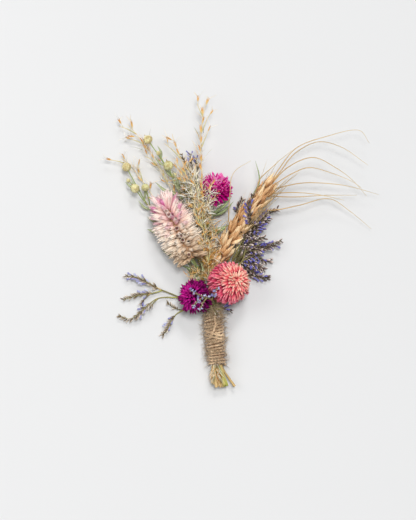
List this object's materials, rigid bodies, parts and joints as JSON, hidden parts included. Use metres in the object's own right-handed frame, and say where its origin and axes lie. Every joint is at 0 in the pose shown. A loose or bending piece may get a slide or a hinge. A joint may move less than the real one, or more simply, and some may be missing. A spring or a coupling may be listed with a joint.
{
  "type": "dried flower boutonniere",
  "caption": "Dried-flower boutonniere lying on its back: globe amaranth heads, a celosia plume, a bearded wheat ear, grasses, seed pods and statice on cut stems bound with twine",
  "frame": {"origin": "middle of the whole, on the surface it lies on", "axes": "+Y runs along the bound stems to the flowers, +X is to the right with the flowers up, +Z is out of the front"},
  "size_m": [0.1522, 0.1614, 0.0291],
  "materials": {
    "twine": "matt, fibrous jute",
    "salmon": "matt, dry papery bracts",
    "purple": "matt, dry papery bracts",
    "magenta": "matt, dry papery bracts",
    "celosia": "silky, dry papery florets",
    "wheat": "satin straw",
    "grass": "matt straw",
    "pod": "matt, dry seed pods and stems",
    "statice": "matt, dry papery florets on wiry stems",
    "green": "matt, dried green stems and leaves"
  },
  "bodies": {
    "root": {"celosia_plume": "celosia", "celosia_stem": "green", "grass_left_lower": "grass", "grass_left_upper": "grass", "grass_middle": "grass", "grass_tall": "grass", "green_blade": "green", "magenta_amaranth_head": "magenta", "magenta_amaranth_stem": "green", "pod_spray_left": "pod", "pod_spray_upper": "pod", "purple_amaranth_head": "purple", "purple_amaranth_stem": "green", "salmon_amaranth_head": "salmon", "salmon_amaranth_stem": "green", "statice_front": "statice", "statice_left": "statice", "statice_right_lower": "statice", "statice_right_middle": "statice", "statice_right_upper": "statice", "statice_top": "statice", "twine_wrap": "twine", "wheat_ear": "wheat"}
  },
  "joints": []
}
